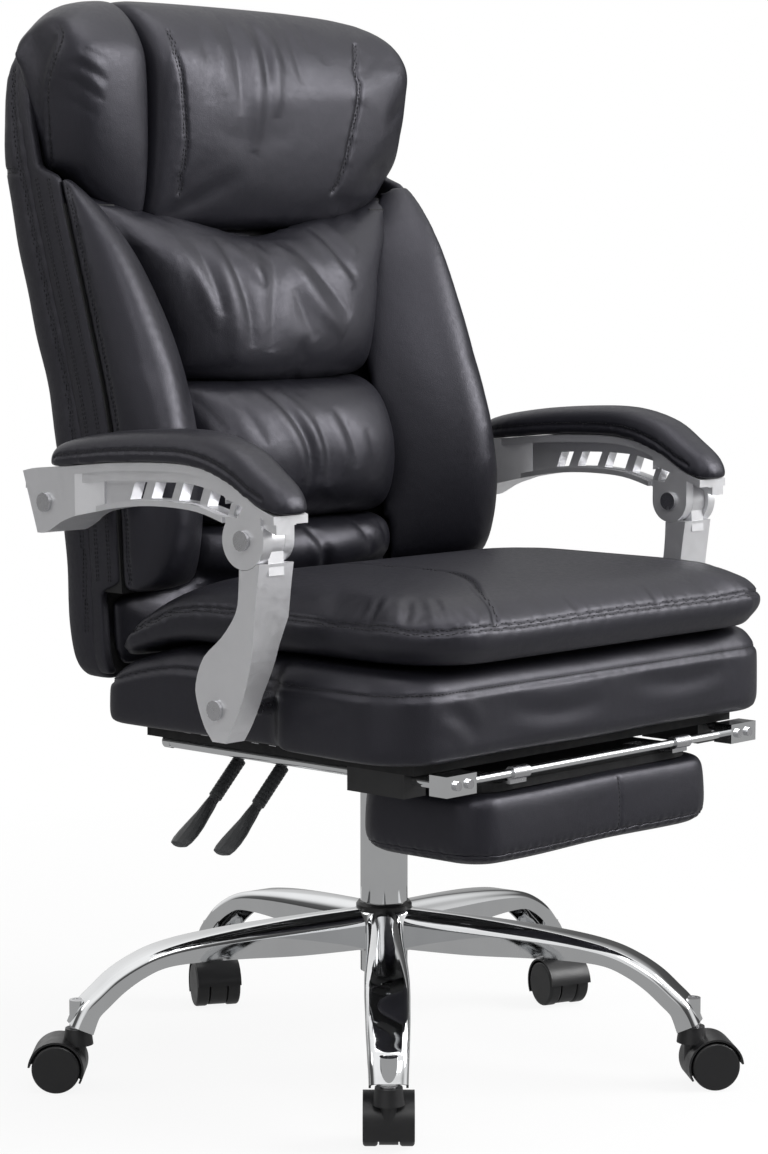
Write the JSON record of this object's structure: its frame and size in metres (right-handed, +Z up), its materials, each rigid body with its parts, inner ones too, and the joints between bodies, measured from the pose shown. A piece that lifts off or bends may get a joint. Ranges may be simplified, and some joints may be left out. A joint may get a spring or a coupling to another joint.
{
  "type": "reclining office chair with footrest",
  "caption": "Padded leather recliner office chair with pillow headrest, linked loop arms, pull-out footrest and star base on twin-wheel casters.",
  "frame": {"origin": "on the floor under the column's axis", "axes": "+Z up, -Y the way the sitter faces, +X to the sitter's left"},
  "size_m": [0.7065, 0.6964, 1.1244],
  "materials": {
    "leather": "soft sheen with fine grain",
    "chrome": "polished",
    "silver": "satin silver",
    "bright_steel": "plated",
    "black_steel": "semi-matte black",
    "black_plastic": "satin black",
    "grip_plastic": "matte black",
    "plywood": "raw plywood"
  },
  "bodies": {
    "base": {"star_base": "chrome", "caster_stems": "bright_steel", "column_tube": "chrome", "column_ring": "black_plastic", "column_bush": "black_plastic", "thrust_bearing": "bright_steel"},
    "caster_1": {"caster_hood_1": "black_plastic"},
    "wheels_1": {"caster_wheels_1": "black_plastic"},
    "caster_2": {"caster_hood_2": "black_plastic"},
    "wheels_2": {"caster_wheels_2": "black_plastic"},
    "caster_3": {"caster_hood_3": "black_plastic"},
    "wheels_3": {"caster_wheels_3": "black_plastic"},
    "caster_4": {"caster_hood_4": "black_plastic"},
    "wheels_4": {"caster_wheels_4": "black_plastic"},
    "caster_5": {"caster_hood_5": "black_plastic"},
    "wheels_5": {"caster_wheels_5": "black_plastic"},
    "piston": {"piston_rod": "bright_steel"},
    "seat": {"gas_cylinder": "black_steel", "mechanism_housing": "black_steel", "mechanism_pins": "bright_steel", "mechanism_screws": "bright_steel", "seat_board": "plywood", "seat_base": "leather", "seat_cushion": "leather", "rail_guides": "black_steel", "post_bolts": "bright_steel"},
    "valve": {"valve_button": "bright_steel"},
    "height_lever": {"height_lever_rod": "bright_steel", "height_lever_sleeve": "grip_plastic", "height_lever_grip": "grip_plastic"},
    "recline_lever": {"recline_lever_rod": "bright_steel", "recline_lever_sleeve": "grip_plastic", "recline_lever_grip": "grip_plastic"},
    "back": {"back_bracket": "black_steel", "bracket_bolts": "bright_steel", "back_board": "plywood", "back_shell": "leather", "arm_rear_bolts": "bright_steel", "bolster_right": "leather", "bolster_left": "leather", "upper_pad": "leather", "lumbar_pad": "leather", "lower_pad": "leather", "headrest": "leather"},
    "post_right": {"arm_post_right": "silver", "knuckle_bolt_right": "bright_steel"},
    "arm_right": {"arm_frame_right": "silver", "arm_pad_right": "leather"},
    "post_left": {"arm_post_left": "silver", "knuckle_bolt_left": "bright_steel"},
    "arm_left": {"arm_frame_left": "silver", "arm_pad_left": "leather"},
    "footrest_slide": {"footrest_rails": "chrome", "rail_clamps": "chrome", "clamp_screws": "bright_steel", "crossbar": "chrome"},
    "footrest_flip": {"footrest_hinges": "bright_steel", "footrest_board": "plywood", "footrest_pad": "leather"}
  },
  "joints": [
    {"name": "caster_1_swivel", "type": "hinge", "parent": "base", "child": "caster_1", "pos_m": [-0.23922, -0.23021, 0.05], "axis": [0, 0, 1], "continuous": true},
    {"name": "wheels_1_roll", "type": "hinge", "parent": "caster_1", "child": "wheels_1", "pos_m": [-0.22387, -0.21589, 0.025], "axis": [-0.682, 0.7314, 0], "continuous": true},
    {"name": "caster_2_swivel", "type": "hinge", "parent": "base", "child": "caster_2", "pos_m": [0.14502, -0.29865, 0.05], "axis": [0, 0, 1], "continuous": true},
    {"name": "wheels_2_roll", "type": "hinge", "parent": "caster_2", "child": "wheels_2", "pos_m": [0.1611, -0.31215, 0.025], "axis": [0.6428, 0.766, 0], "continuous": true},
    {"name": "caster_3_swivel", "type": "hinge", "parent": "base", "child": "caster_3", "pos_m": [0.32885, 0.04563, 0.05], "axis": [0, 0, 1], "continuous": true},
    {"name": "wheels_3_roll", "type": "hinge", "parent": "caster_3", "child": "wheels_3", "pos_m": [0.32167, 0.0259, 0.025], "axis": [0.9397, -0.342, 0], "continuous": true},
    {"name": "caster_4_swivel", "type": "hinge", "parent": "base", "child": "caster_4", "pos_m": [0.05822, 0.32686, 0.05], "axis": [0, 0, 1], "continuous": true},
    {"name": "wheels_4_roll", "type": "hinge", "parent": "caster_4", "child": "wheels_4", "pos_m": [0.04709, 0.30905, 0.025], "axis": [0.848, -0.5299, 0], "continuous": true},
    {"name": "caster_5_swivel", "type": "hinge", "parent": "base", "child": "caster_5", "pos_m": [-0.29287, 0.15638, 0.05], "axis": [0, 0, 1], "continuous": true},
    {"name": "wheels_5_roll", "type": "hinge", "parent": "caster_5", "child": "wheels_5", "pos_m": [-0.30719, 0.17173, 0.025], "axis": [-0.7314, -0.682, 0], "continuous": true},
    {"name": "seat_swivel", "type": "hinge", "parent": "base", "child": "piston", "pos_m": [0, 0, 0.2], "axis": [0, 0, 1], "continuous": true},
    {"name": "seat_height", "type": "slide", "parent": "piston", "child": "seat", "axis": [0, 0, 1], "range_m": [0, 0.09]},
    {"name": "height_lever_pull", "type": "hinge", "parent": "seat", "child": "height_lever", "pos_m": [-0.034, -0.022, 0.353], "axis": [0, 1, 0], "range_deg": [0, 4], "stiffness_Nm_per_rad": 2, "springref_deg": -8.59},
    {"name": "valve_press", "type": "slide", "parent": "seat", "child": "valve", "axis": [0, 0, -1], "range_m": [0, 0.0025]},
    {"name": "recline_lever_turn", "type": "hinge", "parent": "seat", "child": "recline_lever", "pos_m": [-0.066, 0.04, 0.353], "axis": [-1, 0, 0], "range_deg": [0, 15]},
    {"name": "back_recline", "type": "hinge", "parent": "seat", "child": "back", "pos_m": [0, 0.118, 0.35], "axis": [-1, 0, 0], "range_deg": [0, 35]},
    {"name": "post_right_lean", "type": "hinge", "parent": "seat", "child": "post_right", "pos_m": [-0.332, -0.106, 0.425], "axis": [-1, 0, 0], "range_deg": [0, 53]},
    {"name": "arm_right_level", "type": "hinge", "parent": "post_right", "child": "arm_right", "pos_m": [-0.3225, -0.143, 0.588], "axis": [-1, 0, 0], "range_deg": [-47.5, 0]},
    {"name": "post_left_lean", "type": "hinge", "parent": "seat", "child": "post_left", "pos_m": [0.332, -0.106, 0.425], "axis": [-1, 0, 0], "range_deg": [0, 53]},
    {"name": "arm_left_level", "type": "hinge", "parent": "post_left", "child": "arm_left", "pos_m": [0.3225, -0.143, 0.588], "axis": [-1, 0, 0], "range_deg": [-47.5, 0]},
    {"name": "footrest_pull", "type": "slide", "parent": "seat", "child": "footrest_slide", "axis": [0, -1, 0], "range_m": [0, 0.25]},
    {"name": "footrest_fold", "type": "hinge", "parent": "footrest_slide", "child": "footrest_flip", "pos_m": [0, -0.294, 0.361], "axis": [-1, 0, 0], "range_deg": [0, 180]}
  ],
  "couplings": [
    {"joint": "valve_press", "follows": "height_lever_pull", "m_per_rad": 0.034},
    {"joint": "post_right_lean", "follows": "back_recline", "ratio": 1.4927},
    {"joint": "arm_right_level", "follows": "back_recline", "ratio": -1.3323},
    {"joint": "post_left_lean", "follows": "back_recline", "ratio": 1.4927},
    {"joint": "arm_left_level", "follows": "back_recline", "ratio": -1.3323}
  ]
}
